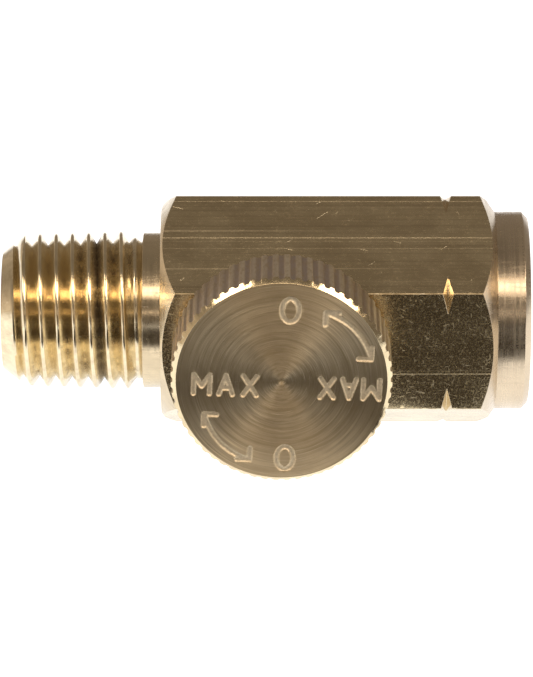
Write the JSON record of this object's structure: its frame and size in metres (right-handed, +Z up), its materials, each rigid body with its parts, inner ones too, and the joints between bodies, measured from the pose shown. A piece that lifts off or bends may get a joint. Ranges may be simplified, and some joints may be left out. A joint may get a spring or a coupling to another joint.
{
  "type": "needle valve",
  "caption": "In-line brass air-flow valve with male and female taper pipe threads on a hexagon-bar body and a knurled knob that turns a rotary throttle plug.",
  "frame": {"origin": "on the flow axis, in the plane of the male thread's end", "axes": "+X along the flow axis from the male thread to the female port; -Y out of the knob's face along the spindle; +Z up, through a corner of the hexagon"},
  "size_m": [0.0456, 0.0281, 0.0214],
  "materials": {
    "body_brass": "drawn and machined brass, lightly scratched",
    "knob_brass": "turned and knurled brass, slightly dulled",
    "washer_brass": "stamped brass",
    "seal_rubber": "matt moulded nitrile",
    "slip_nylon": "natural nylon",
    "spring_steel": "bright spring steel"
  },
  "bodies": {
    "body": {"valve_body": "body_brass", "slip_washer": "slip_nylon", "thrust_washer": "washer_brass", "wave_washer": "spring_steel"},
    "knob": {"knob_spindle": "knob_brass", "front_o_ring": "seal_rubber", "rear_o_ring": "seal_rubber", "retaining_clip": "spring_steel"}
  },
  "joints": [
    {"name": "knob_turn", "type": "hinge", "parent": "body", "child": "knob", "pos_m": [0.0242, 0, 0], "axis": [0, 1, 0], "continuous": true}
  ]
}
